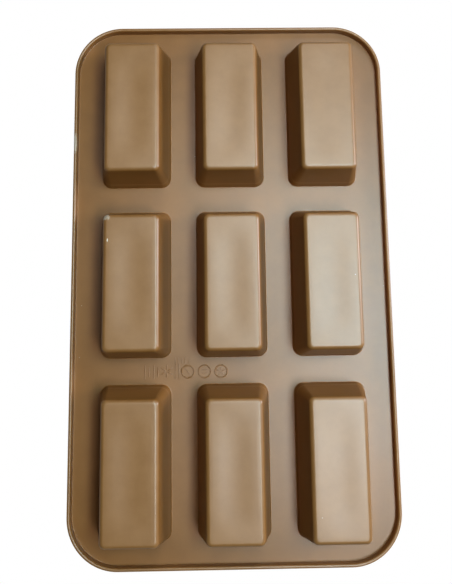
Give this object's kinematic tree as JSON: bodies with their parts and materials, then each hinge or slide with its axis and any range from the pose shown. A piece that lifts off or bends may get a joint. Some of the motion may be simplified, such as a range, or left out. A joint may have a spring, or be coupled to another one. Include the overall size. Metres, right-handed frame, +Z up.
{
  "type": "soap loaf mould",
  "caption": "Shallow silicone soap mould: a round-cornered deck with a turned-down rim carries long tapered cups, open at the top, for casting soap bars.",
  "frame": {"origin": "on the surface the mould stands on, under the middle of the tray", "axes": "+Z up, out of the mouths of the cups; Y along the tray's long side; X across it"},
  "size_m": [0.175, 0.295, 0.027],
  "materials": {
    "silicone": "satin, opaque brown silicone"
  },
  "bodies": {
    "root": {"deck": "silicone", "rim_lip": "silicone", "cup_front_left_wall": "silicone", "cup_front_left_floor": "silicone", "cup_front_centre_wall": "silicone", "cup_front_centre_floor": "silicone", "cup_front_right_wall": "silicone", "cup_front_right_floor": "silicone", "cup_middle_left_wall": "silicone", "cup_middle_left_floor": "silicone", "cup_middle_centre_wall": "silicone", "cup_middle_centre_floor": "silicone", "cup_middle_right_wall": "silicone", "cup_middle_right_floor": "silicone", "cup_back_left_wall": "silicone", "cup_back_left_floor": "silicone", "cup_back_centre_wall": "silicone", "cup_back_centre_floor": "silicone", "cup_back_right_wall": "silicone", "cup_back_right_floor": "silicone"}
  },
  "joints": []
}
